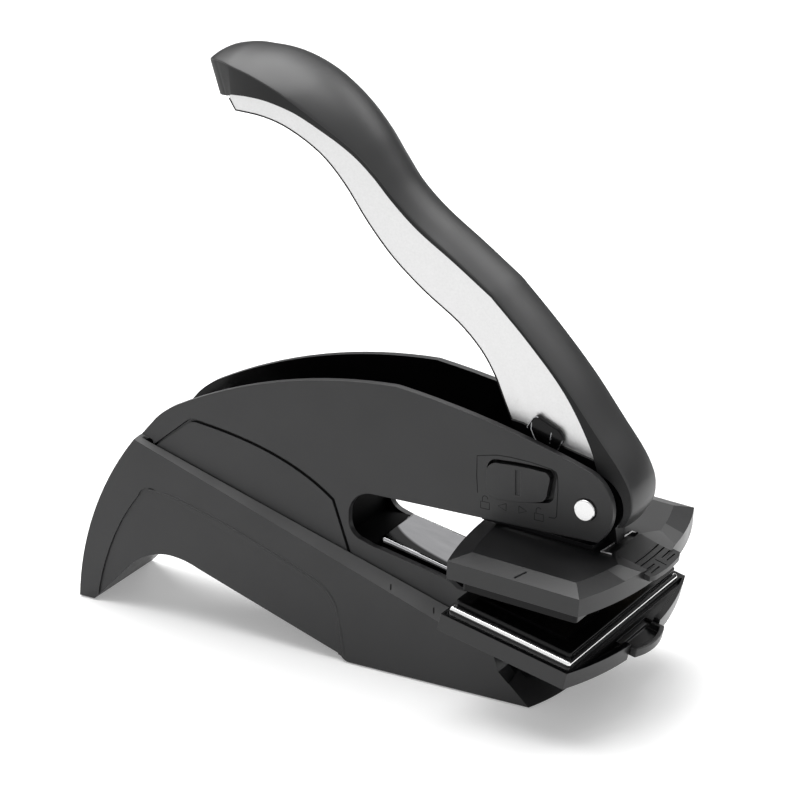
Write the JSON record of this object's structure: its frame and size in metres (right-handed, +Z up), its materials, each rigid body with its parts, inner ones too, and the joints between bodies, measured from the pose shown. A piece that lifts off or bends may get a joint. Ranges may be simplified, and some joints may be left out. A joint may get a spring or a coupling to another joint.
{
  "type": "seal embosser",
  "caption": "Desk seal embosser: a long lever handle turns on a cross pin and presses a hinged upper die carrier onto a die tray held in a split casing.",
  "frame": {"origin": "centre of the part's bounding box in X and Y, on the plane the foot pads stand on", "axes": "+X towards the jaws, +Z up, +Y towards the wall that has no lock button"},
  "size_m": [0.1726, 0.07, 0.1622],
  "materials": {
    "wall_plastic": "satin, fine texture",
    "inner_plastic": "polished black",
    "jaw_plastic": "semi-gloss black",
    "cover_plastic": "semi-gloss dark grey",
    "button_plastic": "satin",
    "spacer_plastic": "natural black acetal",
    "lever_steel": "satin nickel, finely blasted",
    "hub_steel": "black oxide",
    "jaw_arm_steel": "black oxide",
    "pin_steel": "polished",
    "die_plate_steel": "nickel plated",
    "anvil_steel": "polished",
    "die_brass": "engraved face, blank",
    "die_resin": "moulded counter-die, blank",
    "spring_steel": "drawn wire",
    "screw_steel": "zinc plated",
    "foot_rubber": "soft"
  },
  "bodies": {
    "base": {"right_side_wall": "wall_plastic", "left_side_wall": "wall_plastic", "right_base_shell": "wall_plastic", "left_base_shell": "wall_plastic", "foot_pads": "foot_rubber", "casing_screws": "screw_steel", "throat_block": "inner_plastic", "frame_spacers": "spacer_plastic", "channel_floor": "inner_plastic", "anvil_bar": "anvil_steel", "lower_tray": "jaw_plastic", "lower_die_plate": "die_plate_steel", "lower_die_frame": "inner_plastic", "lower_die": "die_resin", "tray_screws": "screw_steel", "handle_pin": "pin_steel", "jaw_pin": "pin_steel", "spring_bar": "pin_steel", "pivot_washers": "spacer_plastic", "return_spring": "spring_steel"},
    "upper_jaw": {"upper_carrier": "jaw_plastic", "jaw_arm": "jaw_arm_steel", "upper_die_plate": "die_plate_steel", "upper_die_frame": "inner_plastic", "upper_die": "die_brass", "arm_screws": "screw_steel"},
    "lever": {"right_lever_plate": "lever_steel", "left_lever_plate": "lever_steel", "lever_hub": "hub_steel", "handle_cover": "cover_plastic", "lever_spacers": "spacer_plastic", "hub_caps": "button_plastic", "lock_lug": "button_plastic", "roller_pin": "pin_steel"},
    "roller": {"cam_roller": "pin_steel"},
    "lock_slider": {"lock_button": "button_plastic"},
    "catch": {"release_catch": "inner_plastic"}
  },
  "joints": [
    {"name": "handle_hinge", "type": "hinge", "parent": "base", "child": "lever", "pos_m": [0.06806, 0, 0.0568], "axis": [0, -1, 0], "range_deg": [0, 38], "stiffness_Nm_per_rad": 0.25, "springref_deg": -34.38},
    {"name": "jaw_hinge", "type": "hinge", "parent": "base", "child": "upper_jaw", "pos_m": [0.03106, 0, 0.052], "axis": [0, 1, 0], "range_deg": [0, 9.5], "deforming": ["return_spring"]},
    {"name": "roller_spin", "type": "hinge", "parent": "lever", "child": "roller", "pos_m": [0.06221, 0, 0.04931], "axis": [0, 1, 0], "continuous": true},
    {"name": "lock_slide", "type": "slide", "parent": "base", "child": "lock_slider", "axis": [1, 0, 0], "range_m": [0, 0.0015]},
    {"name": "catch_slide", "type": "slide", "parent": "base", "child": "catch", "axis": [-0.9724, 0, 0.2334], "range_m": [0, 0.002], "stiffness_N_per_m": 400, "springref_m": -0.001}
  ],
  "couplings": [
    {"joint": "jaw_hinge", "follows": "handle_hinge", "ratio": 0.25}
  ]
}
